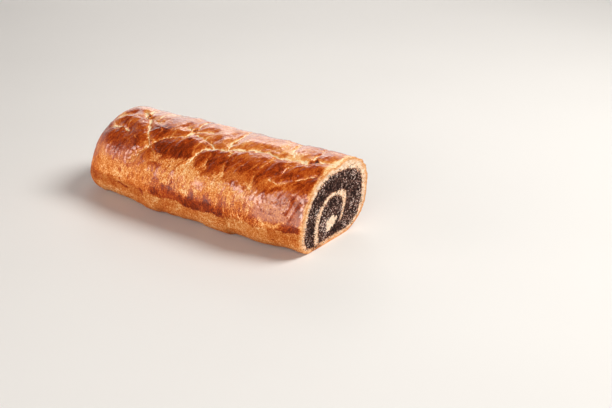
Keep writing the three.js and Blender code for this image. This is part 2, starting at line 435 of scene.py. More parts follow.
def prick_distance(at):
    """Distance to the nearest prick hole, in its radii."""
    nearest = np.full(at.x.shape, FAR_AWAY)
    for px, pg, radius in PRICKS:
        around = (at.girth - pg) * MM_PER_DEGREE / PRICK_STRETCH
        nearest = np.minimum(nearest, np.hypot(at.x - px, around) / radius)
    return nearest


def front_reach(along):
    bulge = FRONT_BULGE * bell(along, BULGE_WIDE, BULGE_AT)
    return FRONT_REACH + bulge - FAR_SLIM * fade(0.1, 0.42, along) - CUT_SLIM * smooth(0.82, 1, along)


def cut_plane(y, z):
    return LENGTH / 2 + CUT_TURN * y + CUT_LEAN * (z - HEIGHT / 2)


def far_plane(y, z):
    """The far end of the filling."""
    return -LENGTH / 2 + CORE_END + 0.7 * (FAR_TURN * y + FAR_LEAN * (z - HEIGHT / 2))


def place(along, angle, inset=0.0):
    """Place on the smooth crust, or inside it by an inset."""
    along, angle = np.broadcast_arrays(np.asarray(along, float), np.asarray(angle, float))
    c, s = np.cos(angle), np.sin(angle)
    foot = np.where(c < 0, FRONT_FOOT_POWER, BACK_FOOT_POWER)
    power = np.where(s >= 0, CROWN_POWER, foot)
    r = (np.abs(c) ** power + np.abs(s) ** power) ** (-1 / power)
    y = np.where(c >= 0, BACK_REACH, front_reach(along)) * c * r
    z = np.maximum(WAIST + np.where(s >= 0, HEIGHT - WAIST, WAIST * BASE_PRESS) * s * r, 0)
    reach = np.hypot(y, z - WAIST)
    y, z = y * (1 - inset / reach), WAIST + (z - WAIST) * (1 - inset / reach)
    u = np.clip(along * LENGTH / FAR_DOME, 0, 1)
    shrink = (1 - (1 - u) ** FAR_DOME_POWER) ** (1 / FAR_DOME_POWER)
    y, z = y * shrink, FAR_DOME_LEVEL + (z - FAR_DOME_LEVEL) * shrink
    to_cut = np.clip((along - 0.5) / 0.5, 0, 1)
    to_far = np.clip((0.5 - along) / 0.5, 0, 1)
    rise = z - HEIGHT / 2
    x = (along - 0.5) * LENGTH
    x = x + to_cut * (CUT_TURN * y + CUT_LEAN * rise) + to_far * (FAR_TURN * y + FAR_LEAN * rise)
    return np.stack([x, y, z], axis=-1)


def girth_angles(count):
    """Angles from the middle of the base once round, evenly spaced over the crust but sparse under it."""
    fine = np.linspace(-math.pi / 2, 1.5 * math.pi, 4001)
    ring = place(0.5, fine)
    step = np.linalg.norm(np.diff(ring, axis=0), axis=1)
    middle = (ring[1:, 2] + ring[:-1, 2]) / 2
    step = step * np.where(middle < 0.5, 0.4, 1.0)
    run = np.concatenate([[0], np.cumsum(step)])
    return np.interp(np.linspace(0, run[-1], count, endpoint=False), run, fine)


def grid_normals(points):
    across = np.roll(points, -1, axis=1) - np.roll(points, 1, axis=1)
    along = np.gradient(points, axis=0)
    n = np.cross(across, along)
    n /= np.linalg.norm(n, axis=-1, keepdims=True) + 1e-12
    outward = points - np.array([0, 0, WAIST])
    outward[..., 0] = 0
    if (n * outward).sum() < 0:
        n = -n
    return n


def fall_angles(along, girth, height):
    """Degrees down from the top of the crown; over the far end they follow the height instead."""
    fall = np.abs(np.where(girth > 270, girth - 360, girth) - 90)
    by_height = np.interp(height, (0, 3, 12, 24, 40, 52, HEIGHT), (160, 135, 115, 90, 60, 25, 0))
    end = fade(0.1, 1.0, along * LENGTH / FAR_DOME)
    return fall * (1 - end) + by_height * end


# Each step adds its masks to m; at holds the points of the crust
def find_marks(at, m):
    """Marks drawn on the crust, the crust by the cut and its rim, and how far down cracks reach."""
    m.widths, m.line, m.valley = crack_fields(at)
    m.ridge, m.rumple = ridge_heights(at)
    m.prick = prick_distance(at) + 0.18 * at.mottle(2.4, 21)
    m.brushed = mark_share(at, ISLANDS, 83)
    m.strokes = mark_share(at, STROKES, 85)
    drop = 0.45 * np.maximum(at.girth - 158, 0) * (at.girth < BASE_GIRTH)
    m.near_cut = smooth(50, 74, at.x - drop + 8 * at.blotch(8, 19) + 6 * at.streak(2.2, 7.0, 14))
    m.on_crown = np.maximum(at.above(62, 72), m.near_cut * at.above(94, 98))
    rim_wide = 2.4 + 2.6 * at.above(25, 50)
    m.rim = fade(0.3, 1.0, (LENGTH / 2 - at.x + 1.2 * at.mottle(4, 33)) / rim_wide)


def wash_crown(at, m):
    """Egg-washed crown; its lower edge hangs in lobes between the cracks and softens towards the far end."""
    ragged = 5 * at.blotch(14, 11) + 3.5 * at.streak(3.2, 9.0, 12)
    ragged = ragged + 2 * at.streak(1.3, 3.5, 13) - 9 * bell(m.widths, 6)
    edge = CROWN_EDGE_FALL + 0.14 * at.x + 26 * at.farward(15, 55) + 11 * at.farward(70, 95)
    soft = 6 + 5 * at.farward(15, 45)
    m.crown = fade(-soft, soft, at.fall - edge - ragged)


def wash_sides(at, m):
    """Washed band low on the sides, the washed side by the cut, and the foot under that."""
    low = LOW_EDGE_FALL + 4 * bell(at.x, 22, 22) + 2.5 * at.blotch(15, 15) + 2 * at.blotch(4, 16)
    above_low = fade(low - 1.5, low + 2, at.fall)
    m.ledge = smooth(low - 0.5, low + 2.5, at.fall) * fade(low + 10, low + 30, at.fall)
    waver = at.x + 7 * at.blotch(12, 17) + 3 * at.blotch(3, 48)
    middle = smooth(-34, -12, waver) * (1 - 0.4 * smooth(34, 52, waver)) * fade(62, 80, waver)
    down = on_line(at.x + 1.2 * at.mottle(9, 34))
    drip = noise(down, 3.0, 49)
    reach = smooth(74, 97, at.fall + 6 * at.blotch(6, 18) + 4 * drip)
    tears = veins(0.84, 0.96, noise(down, 4.0, 37))
    tears = tears * smooth(-0.2, 0.3, at.stroke(1, 1.6, 36, size=9))
    m.band = middle * reach * above_low * (1 - 0.7 * tears) * (0.8 + 0.2 * smooth(-0.4, 0.3, drip))
    m.side = m.near_cut * fade(92, 97, at.fall + 3 * at.blotch(5, 50) + 2 * drip)
    m.bare_side = m.side * (1 - m.crown)
    m.foot = smooth(76, 90, waver) * smooth(91, 99, at.fall + 4 * drip) * above_low * (1 - 0.6 * tears)


def wash_strays(at, m):
    """Thin streaks, strokes and small islands of wash, none where they would meet at the far end's middle."""
    off_pole = smooth(3, 18, at.x + LENGTH / 2)
    thin = at.streak(3.0, 10.0, 55) + 0.7 * at.streak(1.4, 6.0, 56) + 0.6 * at.blotch(12, 57)
    thin = 0.5 * smooth(-0.1, 1.1, thin) * at.above(90, 104) * off_pole
    stroke = 0.6 * smooth(0.05, 0.7, at.stroke(1.6, 9.0, 64) + 0.5 * at.blotch(9, 65))
    stroke = stroke * at.below(72, 84) * at.above(97, 105) * at.cutward(-25, 0)
    island = 0.8 * smooth(0.4, 0.8, at.streak(4.0, 7.0, 58) + 0.5 * at.blotch(2.5, 59))
    island = island * at.above(98, 106) * (1 - 0.6 * at.cutward(-10, 20)) * off_pole
    main = np.maximum.reduce([m.crown, m.band, m.side, m.foot])
    m.stray = smooth(0.0, 0.3, island - main)
    m.wash = np.maximum.reduce([main, thin, stroke, island, m.brushed]) * (1 - 0.5 * m.rim)
    m.drawn = (1 - 0.75 * at.below(100, 110)) * off_pole


def gloss_patch(at, m):
    """Glossy patch by the cut, whose colour gets a painted pinkish sheen, and the crinkles, darkened with
    painted shade, and the pale painted highlight streaks of that side.
    """
    top = np.maximum(162 - 0.6 * (at.x - PATCH_FROM), 150)
    start = at.x - PATCH_FROM - 0.5 * (at.girth - 161) + 4 * at.mottle(5, 87)
    patch = smooth(-4, 4, start) * (at.girth < BASE_GIRTH)
    patch = patch * smooth(-4, 4, at.girth - top + 5 * at.mottle(5, 88))
    m.patch = patch * fade(180, 187, at.girth)
    # Patch that gets the painted sheen, without the dark strokes
    m.film = m.patch * (1 - m.strokes)
    # Crinkles: grooves in the relief, with painted shade darkening the colour along them
    crinkle = veins(0.74, 0.94, at.streak(1.9, 4.2, 47, 2)) * m.side
    crinkle = crinkle * smooth(-0.3, 0.3, at.blotch(8, 53))
    m.crinkle = crinkle * (1 - 0.8 * m.crown) * at.below(60, 68)
    # Painted highlight streaks: pale slanted lines in the colour of that side
    scratch = veins(0.86, 0.97, at.streak(1.5, 7.0, 72))
    m.scratch = scratch * m.side * smooth(0.0, 0.4, at.blotch(6, 74))


def tear_open(at, m):
    """Torn lines: the cracks, uneven in width, a few hair cracks, and the crust round prick holes."""
    crack = m.line * m.on_crown
    bend = 0.25 * np.stack([at.mottle(9, 29), at.mottle(9, 30), np.zeros_like(at.x)], axis=-1)
    hair = veins(0.9, 1.0, noise(at.flat / [5.0, 14.0, 1] + bend, 1, 24))
    hair = 0.5 * hair * smooth(0.0, 0.5, at.blotch(16, 25)) * m.crown
    torn = fade(1.25, 2.0, m.prick) * smooth(-0.4, 0.4, at.mottle(3.0, 23))
    torn = torn * (1 - 0.7 * at.cutward(60, 75))
    m.crack = np.clip(np.maximum.reduce([crack, hair, 0.8 * torn]), 0, 1)
    m.groove = np.maximum(bell(m.widths, 0.75), 0.4 * hair) * m.on_crown
    m.lip = bell(m.widths, 1.0, 2.2) * m.on_crown
    m.pit = fade(0.85, 1.35, m.prick) * (0.55 + 0.45 * smooth(-0.5, 0.1, at.mottle(1.7, 70)))


def brown_bare(at, m):
    """How brown the bare crust is, and the shade under the overhang."""
    strip = at.below(98, 104) * at.above(116, 122) * at.farward(22, 44)
    tone = 0.16 + 0.1 * fractal(at.spot, 7, 27) + 0.05 * at.below(92, 104) + 0.12 * strip
    tone = tone - 0.1 * m.rim + 0.06 * bell(at.x, 16, -28) + 0.035
    tone = tone + 0.06 * at.farward(45, 65) * at.above(78, 88)
    tone = tone + 0.09 * at.farward(70, 92) + 0.05 * at.cutward(-30, 10) * at.below(104, 112)
    m.bare_tone = tone
    m.bare = np.clip(tone, 0, 1)
    m.shade = at.below(100, 108) * (0.7 + 0.3 * at.below(122, 134))


def brown_washed(at, m):
    """How brown the washed crust is."""
    shoulder = bell(at.fall, 12, 42)
    m.top = at.above(12, 28)
    m.under_crack = bell(at.fall, 8, 26) * at.cutward(38, 50)
    faded = at.below(48, 62) * at.above(68, 76) * (1 - m.near_cut) * at.cutward(-25, -5)
    plate = 0.3 + 0.2 * fractal(at.spot, 15, 289, 2) + 0.155 * shoulder
    # Paler on top, towards the far end and where the wash thins out
    plate = plate - (0.1 + 0.08 * bell(at.x, 16, -32)) * m.top
    plate = plate - 0.08 * bell(at.x, 14, 20) * shoulder
    plate = plate - 0.06 * faded - 0.2 * at.farward(72, 92) * at.above(34, 54)
    plate = plate - 0.18 * at.farward(78, 92) * at.above(15, 30)
    plate = plate - 0.08 * at.farward(64, 80) * at.below(36, 50)
    plate = plate - 0.09 * at.farward(40, 65) * at.below(44, 56)
    # Darker under the main crack, by the cut, on the low band and with painted shade along the crinkles, and
    # paler on the painted highlight streaks and on the patch
    plate = plate + 0.08 * m.under_crack
    plate = plate + 0.14 * at.cutward(70, 84) * at.below(30, 42) * at.above(62, 74)
    plate = plate + 0.32 * m.band + 0.26 * m.foot + (0.26 * at.cutward(74, 90) - 0.13) * m.bare_side
    plate = plate + 0.26 * m.crinkle + 0.16 * m.strokes - 0.25 * m.scratch - 0.09 * m.patch
    darkest = DARKEST_WASH - 0.14 * at.farward(40, 60)
    fibres = 0.65 + 0.5 * at.streak(0.9, 3.6, 60) + 0.5 * at.mottle(8, 20)
    halo = (bell(m.widths, 1.7) + 0.2 * bell(m.widths, 4)) * fibres * m.on_crown
    tone = np.minimum(m.bare_tone + plate, darkest) - 0.26 * halo * m.crown - 0.38 * m.rim
    tone = tone + (0.1 * at.streak(1.5, 5.0, 61) + 0.07 * at.blotch(2.2, 62)) * m.crown
    m.washed = np.clip(tone, 0, 1)


def glaze_over(at, m):
    """The glaze shines least on the plates' lower halves, on stray islands and under the overhang."""
    losses = [
        (0.95, at.below(86, 96) * (1 - m.near_cut) + at.below(90, 100) * m.near_cut),
        (0.5, at.farward(84, 96)),
        (0.65, bell(at.fall, 15, 49) * at.cutward(-60, -30)),
        (0.8, m.stray),
        (0.22, m.top),
        (0.45, m.under_crack),
        (0.9, m.strokes),
        (0.95, m.brushed),
        (0.5, at.farward(45, 65) * at.below(45, 58)),
    ]
    glaze = np.ones(at.x.shape)
    for amount, share in losses:
        glaze = glaze * (1 - amount * share)
    m.glaze = np.maximum(glaze, smooth(0.1, 0.6, m.rumple))
    sheen = at.stroke(1.0, 1.4, 75, size=8) + 0.4 * at.mottle(2.5, 76)
    sheen = 0.7 * smooth(0.0, 0.5, sheen) * at.below(66, 76) * at.above(88, 96)
    m.sheen = sheen * at.cutward(-30, -5)


def crust_masks(at):
    """Shares, mostly from 0 to 1, that the crust's relief and colour are made of."""
    masks = SimpleNamespace()
    wash = (wash_crown, wash_sides, wash_strays, gloss_patch)
    tones = (brown_bare, brown_washed, glaze_over)
    for step in (find_marks, *wash, tear_open, *tones):
        step(at, masks)
    return masks


def crust_relief(at, m):
    """Height of the crust over its smooth form, in millimetres."""
    x, turn = at.x, np.radians(at.girth)
    crowned = smooth(35, 105, at.girth) * fade(140, 172, at.girth)
    plates = PUFF * crowned * (1 - m.valley - PLATE_LEVEL)
    slow = np.sin(x / 15 + 2 * turn) + 0.7 * np.sin(x / 8.3 - 3 * turn + 1.7)
    slow = slow + 0.5 * np.sin(x / 27 + 5 * turn)
    # Wrinkles run across the crown at a slant, and stretch marks run down the sides
    wrinkle = 0.3 * at.streak(2.6, 7.0, 31, 3) * m.crown * (0.4 + 0.6 * at.below(15, 40))
    wrinkle = wrinkle * (0.6 + 1.1 * smooth(0.0, 0.5, at.blotch(10, 77)))
    wrinkle = wrinkle * (1 - 0.6 * at.farward(40, 60) * at.below(40, 55))
    wrinkle = wrinkle + 0.4 * at.streak(1.9, 5.0, 95, 2) * m.rumple
    sides = at.below(52, 66) * at.above(112, 126) * (1 - 0.8 * m.patch)
    stretch = 0.17 * at.stroke(1.3, 7.0, 35, 3) * sides
    tear = 0.3 * at.streak(1.9, 4.6, 66, 2) * m.bare_side * (1 - 0.7 * m.patch)
    tear = tear - 0.4 * m.crinkle
    grain = 0.06 * fractal(at.spot, 1.7, 39, 2) + 0.35 * at.blotch(13, 41)
    # Prick holes with torn edges, creases and the cracks with their lips
    pit = -PRICK_DEPTH * fade(0.4, 1.15, m.prick)
    torn = 0.4 * bell(m.prick, 0.5, 1.5) * (1 + at.mottle(1.6, 43))
    crease = 0.28 * veins(0.6, 1.0, at.streak(1.6, 9.0, 45)) * smooth(0.0, 0.4, at.blotch(9, 46))
    crease = crease * np.maximum(m.crown, at.cutward(50, 70))
    lip = (0.3 + 0.35 * at.mottle(6, 69)) * m.lip
    lines = crease + lip - GROOVE * m.groove
    ledge = LEDGE * m.ledge * at.cutward(-60, -20)
    frayed = FRAY * fractal(at.flat, 2.4, 54, 2) * bell(LENGTH / 2 - x, 1.4)
    swells = plates + m.ridge + UNEVEN * slow
    return swells + lines + wrinkle + stretch + tear + grain + pit + torn + ledge + frayed


def foot_waves(x):
    """Scallops of the lower edge along the roll, from 0 to 1."""
    run = on_line(x)
    return smooth(-0.7, 0.7, noise(run, 13, 67) + 0.5 * noise(run, 5.5, 68))


def skin_grid():
    """Crust points row by row from the far end to the cut, flattened points for the grain, and the masks."""
    turns = girth_angles(SKIN_AROUND)
    dome = (1 - np.cos(np.linspace(0, math.pi / 2, SKIN_DOME_ROWS + 1)[1:])) * FAR_DOME / LENGTH
    rows = np.concatenate([dome, np.linspace(FAR_DOME / LENGTH, 1, SKIN_LONG_ROWS + 1)[1:]])
    along, angle = np.meshgrid(rows, turns, indexing="ij")
    base = place(along, angle)
    x = (along - 0.5) * LENGTH
    girth = np.degrees(angle) % 360
    at = Crust(x, girth, fall_angles(along, girth, base[..., 2]), base)
    masks = crust_masks(at)
    lift = crust_relief(at, masks) * smooth(0.4, 9, base[..., 2])
    lift -= FOOT_WAVE * foot_waves(x) * at.below(98, 112) * at.above(140, 168)
    lift *= 0.15 + 0.85 * smooth(0, 0.6, along * LENGTH / FAR_DOME)
    points = base + grid_normals(base) * lift[..., None]
    points[..., 2] = np.maximum(points[..., 2], 0)
    points[-1, :, 0] = cut_plane(points[-1, :, 1], points[-1, :, 2])
    return points, slanted(at.flat, SLANT_OF_GRAIN), masks


def ring_thickness(angle):
    return RING + RING_VARY * np.cos(angle - RING_THICK_AT)


def signed_area(loop):
    return (loop[:, 0] * np.roll(loop[:, 1], -1) - np.roll(loop[:, 0], -1) * loop[:, 1]).sum() / 2


def even_loop(loop):
    """The same closed outline with evenly spaced points."""
    closed = np.concatenate([loop, loop[:1]])
    run = np.concatenate([[0], np.cumsum(np.linalg.norm(np.diff(closed, axis=0), axis=1))])
    marks = np.linspace(0, run[-1], max(12, int(run[-1] / LOOP_PITCH)), endpoint=False)
    return np.stack([np.interp(marks, run, closed[:, k]) for k in range(2)], axis=1)


def wavering(loop, grow, rough=1.0):
    """A closed outline of side and height, evened out and moved outward by a size and an uneven waver."""
    loop = even_loop(loop)
    ahead = np.roll(loop, -1, axis=0) - np.roll(loop, 1, axis=0)
    out = np.stack([ahead[:, 1], -ahead[:, 0]], axis=1)
    out /= np.linalg.norm(out, axis=1, keepdims=True) + 1e-12
    if signed_area(loop) < 0:
        out = -out
    flat = on_plane(loop)
    uneven = rough * SEAM_WAVER * (noise(flat, 3.1, 51) + noise(flat, 1.2, 52))
    return loop + out * (grow + uneven)[:, None]


def core_loop(grow):
    angles = np.linspace(0, 2 * math.pi, 720, endpoint=False)
    return wavering(place(1.0, angles, ring_thickness(angles))[:, 1:], grow)


def curve_through(points, steps):
    """Smooth line through points."""
    padded = np.concatenate([[2 * points[0] - points[1]], points, [2 * points[-1] - points[-2]]])
    line = []
    for k in range(1, len(padded) - 2):
        a, b, c, d = padded[k - 1:k + 3]
        for t in np.linspace(0, 1, steps, endpoint=False):
            square = (2 * a - 5 * b + 4 * c - d) * t**2
            cube = (3 * b - a - 3 * c + d) * t**3
            line.append(0.5 * (2 * b + (c - a) * t + square + cube))
    line.append(padded[-2])
    return np.array(line)


def turn_loop(grow):
    line = curve_through(TURN, 12)
    ahead = np.gradient(line[:, :2], axis=0)
    ahead /= np.linalg.norm(ahead, axis=1, keepdims=True)
    side = np.stack([-ahead[:, 1], ahead[:, 0]], axis=1)
    half = line[:, 2:3]
    nose = line[-1:, :2] + ahead[-1:] * half[-1]
    loop = np.concatenate([line[:, :2] + side * half, nose, (line[:, :2] - side * half)[::-1]])
    return wavering(loop, grow)


def heart_loop(grow):
    a = np.linspace(0, 2 * math.pi, 200, endpoint=False)
    lump = 1 + HEART_LUMP * np.cos(3 * a + 0.5)
    across, up = HEART_WIDE * lump * np.cos(a), HEART_TALL * lump * np.sin(a)
    c, s = math.cos(HEART_TILT), math.sin(HEART_TILT)
    loop = np.stack([HEART_SIDE + across * c - up * s, HEART_HEIGHT + across * s + up * c], axis=1)
    return wavering(loop, grow, HEART_ROUGH)


def edge_distance(flat, edge):
    """Distance of flat points to the nearest point of an outline."""
    out = np.empty(len(flat))
    for part in np.array_split(np.arange(len(flat)), 40):
        out[part] = np.linalg.norm(flat[part][:, None] - edge[None], axis=-1).min(axis=1)
    return out


def inner_points(loops, pitch, seed):
    """Jittered points over the outlines' box that keep clear of the outlines."""
    edge = np.concatenate(loops)
    low, high = edge.min(axis=0), edge.max(axis=0)
    draw = np.random.default_rng(seed)
    steps = [np.arange(low[k], high[k], pitch) for k in range(2)]
    grid = np.stack(np.meshgrid(*steps), axis=-1).reshape(-1, 2)
    grid += draw.uniform(-0.35, 0.35, grid.shape) * pitch
    return grid[edge_distance(grid, edge) > 0.45 * pitch]


def cut_region(loops, wanted, pitch=None, seed=0):
    """Flat triangles inside closed outlines where wanted says yes to the set of outlines that hold them."""
    points = []
    faces = []
    for loop in loops:
        faces.append(list(range(len(points), len(points) + len(loop))))
        points += [Vector(p) for p in (loop if signed_area(loop) > 0 else loop[::-1])]
    if pitch:
        points += [Vector(p) for p in inner_points(loops, pitch, seed)]
    coords, _, triangles, _, _, sources = delaunay_2d_cdt(points, [], faces, 1, 1e-5)
    kept = [t for t, held in zip(triangles, sources) if wanted(set(held))]
    return np.array([tuple(c) for c in coords]), np.array(kept)


def is_dough(held):
    return RIM in held and (CORE not in held or not held.isdisjoint(DOUGH_IN_CORE))


def is_core(held):
    return CORE in held and held.isdisjoint(DOUGH_IN_CORE)


def is_filling(held):
    """The filling has the same outlines without the rim."""
    return is_core({k + 1 for k in held})


def open_edges(triangles):
    """Edges used by one triangle only, in that triangle's direction."""
    seen = dict.fromkeys(e for a, b, c in triangles for e in ((a, b), (b, c), (c, a)))
    return [e for e in seen if e[::-1] not in seen]


class Builder:
    """Collects points, faces and point values, and makes one mesh object from them."""

    def __init__(self):
        self.points = []
        self.faces = []
        self.slots = []
        self.values = {}
        self.count = 0

    def add(self, points, faces, slot, **values):
        start = self.count
        self.points.append(np.asarray(points, float))
        self.faces += [[start + i for i in f] for f in faces]
        self.slots += [slot] * len(faces)
        self.count += len(points)
        for name in set(self.values) | set(values):
            width = 3 if name == "unroll" else 1
            blank = np.zeros((start, width))
            column = self.values.setdefault(name, [blank] if start else [])
            new = values.get(name, np.zeros((len(points), width)))
            column.append(np.asarray(new, float).reshape(len(points), width))

    def make(self, name, materials, sharp):
        places = (np.concatenate(self.points) - BOX_MIDDLE) * MM
        mesh = bpy.data.meshes.new(name)
        mesh.from_pydata(places.tolist(), [], self.faces)
        for material in materials:
            mesh.materials.append(material)
        mesh.polygons.foreach_set("material_index", self.slots)
        for key, column in self.values.items():
            kind, field = ("FLOAT_VECTOR", "vector") if key == "unroll" else ("FLOAT", "value")
            layer = mesh.attributes.new(key, kind, "POINT")
            layer.data.foreach_set(field, np.concatenate(column).ravel())
        work = bmesh.new()
        work.from_mesh(mesh)
        bmesh.ops.remove_doubles(work, verts=work.verts, dist=1e-6)
        unused = [v for v in work.verts if not v.link_faces]
        bmesh.ops.delete(work, geom=unused, context="VERTS")
        bmesh.ops.recalc_face_normals(work, faces=work.faces)
        work.to_mesh(mesh)
        work.free()
        mesh.polygons.foreach_set("use_smooth", [True] * len(mesh.polygons))
        mesh.set_sharp_from_angle(angle=math.radians(sharp))
        piece = bpy.data.objects.new(name, mesh)
        bpy.context.scene.collection.objects.link(piece)
        return piece


def on_end(plane, flat, lift=0.0):
    """Flat points set on the plane of an end."""
    return np.stack([plane(flat[:, 0], flat[:, 1]) + lift, flat[:, 0], flat[:, 1]], axis=1)


def add_inside(build, slot, coords, edges, loops, wanted, inset):
    """Walls from edges at the cut back to the far end of the filling, and the face there."""
    used = sorted({i for e in edges for i in e})
    number = {old: new for new, old in enumerate(used)}
    half = len(used)
    quads = [[number[b], number[a], number[a] + half, number[b] + half] for a, b in edges]
    ends = [on_end(cut_plane, coords[used]), on_end(far_plane, coords[used], inset)]
    build.add(np.concatenate(ends), quads, slot)
    end_coords, end_triangles = cut_region(loops, wanted)
    build.add(on_end(far_plane, end_coords, inset), end_triangles.tolist(), slot)


def add_skin(build, skin, flat, masks):
    """The crust from the far end, closed by a point at its middle, to the cut."""
    rows, around = skin.shape[:2]
    faces = []
    for k, j in itertools.product(range(rows - 1), range(around)):
        a, b = k * around + j, k * around + (j + 1) % around
        faces.append([a, b, b + around, a + around])
    tip = rows * around
    faces += [[tip, (j + 1) % around, j] for j in range(around)]
    pole = place(0.0, 0.0).reshape(1, 3)
    values = {}
    for key in CRUST_VALUES:
        mask = getattr(masks, key)
        values[key] = np.append(mask.ravel(), mask[0].mean())
    unroll = np.concatenate([flat.reshape(-1, 3), flat[0].mean(axis=0, keepdims=True)])
    build.add(np.concatenate([skin.reshape(-1, 3), pole]), faces, 0, unroll=unroll, **values)


def make_dough(crust, crumb):
    """Crust and crumb as one piece; also gives the crumb at the cut, with its distance from the filling."""
    skin, flat, masks = skin_grid()
    build = Builder()
    add_skin(build, skin, flat, masks)
    rim = skin[-1, :, 1:]
    loops = [rim, core_loop(0), turn_loop(0), heart_loop(0)]
    coords, triangles = cut_region(loops, is_dough, CRUMB_PITCH, seed=3)
    side, height = coords[:, 0], coords[:, 1]
    rim_gap = edge_distance(coords, rim)
    seam_gap = edge_distance(coords, np.concatenate(loops[CORE:HEART]))
    seam_gap = np.minimum(seam_gap, 3.5 * edge_distance(coords, loops[HEART]))
    spot = on_plane(coords)
    torn = 0.3 * fractal(spot, 1.8, 61) + 0.3 * fractal(spot / [3.0, 0.9, 1.0], 1, 63, 2)
    crumb_face = on_end(cut_plane, coords, torn * smooth(0.05, 0.8, np.minimum(rim_gap, seam_gap)))
    # The crumb is browned near the crust, most at the front and least on top, and pale at the heart
    baked = rim_gap * (0.6 + 0.15 * smooth(-34, 6, side)) * (1.15 - 0.15 * smooth(3, 14, height))
    baked = baked * (1 + 0.6 * smooth(36, 48, height))
    heart_gap = np.hypot(side - HEART_SIDE, height - HEART_HEIGHT)
    pale = fade(HEART_WIDE, 1.5 * HEART_WIDE, heart_gap)
    build.add(crumb_face, triangles.tolist(), 1, rim=baked, seam=seam_gap, pale=pale)
    inner = [e for e in open_edges(triangles) if max(rim_gap[e[0]], rim_gap[e[1]]) > 0.02]
    add_inside(build, 1, coords, inner, loops, is_core, 0.0)
    piece = build.make("dough_crust_and_crumb", [crust, crumb], DOUGH_SHARP)
    return piece, (crumb_face, triangles, seam_gap)


def make_filling(material):
    """The filling as one piece; also gives its face at the cut."""
    build = Builder()
    loops = [core_loop(-SEAM_GAP), turn_loop(SEAM_GAP), heart_loop(SEAM_GAP)]
    coords, triangles = cut_region(loops, is_filling, FILLING_PITCH, seed=5)
    gap = edge_distance(coords, np.concatenate(loops))
    spot = on_plane(coords)
    crumbly = 0.3 * fractal(spot, 1.0, 71, 2) + 0.25 * noise(spot, 4, 73)
    face = on_end(cut_plane, coords, crumbly * smooth(0.02, 0.5, gap))
    build.add(face, triangles.tolist(), 0)
    add_inside(build, 0, coords, open_edges(triangles), loops, is_filling, SEAM_GAP)
    return build.make("filling_core", [material], FILLING_SHARP), (face, triangles)


def scatter(face, triangles, weights, count, draw):
    """Random places on triangles, crowded by weight."""
    corners = face[triangles]
    area = np.linalg.norm(np.cross(corners[:, 1] - corners[:, 0], corners[:, 2] - corners[:, 0]), axis=1)
    chance = area * weights[triangles].mean(axis=1)
    chosen = draw.choice(len(triangles), count, p=chance / chance.sum())
    shares = draw.dirichlet((1, 1, 1), count)
    return (corners[chosen] * shares[..., None]).sum(axis=1)


def make_seeds(cut, crumb, material):
    """Poppy seeds half sunk in the cut filling and strayed over the crumb's seams, one joined mesh."""
    draw = np.random.default_rng(11)
    ball = bmesh.new()
    bmesh.ops.create_icosphere(ball, subdivisions=1, radius=1.0)
    unit = np.array([v.co[:] for v in ball.verts])
    sides = [[v.index for v in f.verts] for f in ball.faces]
    ball.free()
    thick = scatter(*cut, np.ones(len(cut[0])), SEED_COUNT, draw)
    crumb_face, crumb_triangles, seam_gap = crumb
    strayed = scatter(crumb_face, crumb_triangles, np.exp(-seam_gap / STRAY_REACH), STRAY_COUNT, draw)
    strayed[:, 2] = np.maximum(strayed[:, 2], 3 * SEED_SIZE)
    pale = 0.25 * noise(thick, 7, 81)
    build = Builder()
    for k, middle in enumerate(np.concatenate([thick, strayed])):
        size = SEED_SIZE * draw.uniform(0.75, 1.15)
        spin = Matrix.Rotation(draw.uniform(0, 2 * math.pi), 3, "X")
        spin = spin @ Matrix.Rotation(draw.uniform(-0.7, 0.7), 3, "Z")
        shape = unit * SEED_FORM * size
        shape[:, 2] += SEED_BEND * shape[:, 1] ** 2 / size
        sunk = draw.uniform(-0.15, 0.25) * size
        points = shape @ np.array(spin).T + middle + [sunk, 0, 0]
        tone = draw.uniform() + pale[k] if k < SEED_COUNT else draw.uniform(0, 0.75)
        build.add(points, sides, 0, tone=np.full(len(points), np.clip(tone, 0, 1)))
    return build.make("poppy_seeds", [material], SEED_SHARP)


class Term:
    """A value or colour in a shader, so that sums with it can be written with plain signs."""

    def __init__(self, tree, socket):
        self.tree = tree
        self.socket = socket

    def __add__(self, other):
        return maths("ADD", self, other, self.tree)

    def __sub__(self, other):
        return maths("SUBTRACT", self, other, self.tree)

    def __rsub__(self, other):
        return maths("SUBTRACT", other, self, self.tree)

    def __mul__(self, other):
        return maths("MULTIPLY", self, other, self.tree)

    def larger(self, other):
        return maths("MAXIMUM", self, other, self.tree)

    def clamped(self):
        """Keeps the sum just made within 0 to 1."""
        self.socket.node.use_clamp = True
        return self


def feed(made, inputs):
    """Gives a shader node its inputs; those that are terms are linked, any others are set."""
    for key, value in inputs.items():
        if isinstance(value, Term):
            value.tree.links.new(value.socket, made.inputs[key])
        else:
            made.inputs[key].default_value = value


def node(tree, kind, inputs=None, **settings):
    made = tree.nodes.new("ShaderNode" + kind)
    for key, value in settings.items():
        setattr(made, key, value)
    feed(made, inputs or {})
    return made


def term(tree, kind, output, inputs=None, **settings):
    """One output of a new shader node."""
    return Term(tree, node(tree, kind, inputs, **settings).outputs[output])


def maths(operation, a, b, tree):
    return term(tree, "Math", 0, {0: a, 1: b}, operation=operation)


def attribute(tree, name, output="Fac"):
    return term(tree, "Attribute", output, attribute_name=name)


def coordinates(tree, output="Object"):
    return term(tree, "TexCoord", output)


def stretched(vector, scale):
    return term(vector.tree, "VectorMath", 0, {0: vector, 1: scale}, operation="MULTIPLY")


def noise_texture(vector, scale, detail=3.0, rough=0.55):
    inputs = {"Vector": vector, "Scale": scale, "Detail": detail, "Roughness": rough}
    return term(vector.tree, "TexNoise", "Fac", inputs)


def cells(vector, scale, output):
    """Many small cells: the distance to the nearest one's middle, or its own colour."""
    return term(vector.tree, "TexVoronoi", output, {"Vector": vector, "Scale": scale})


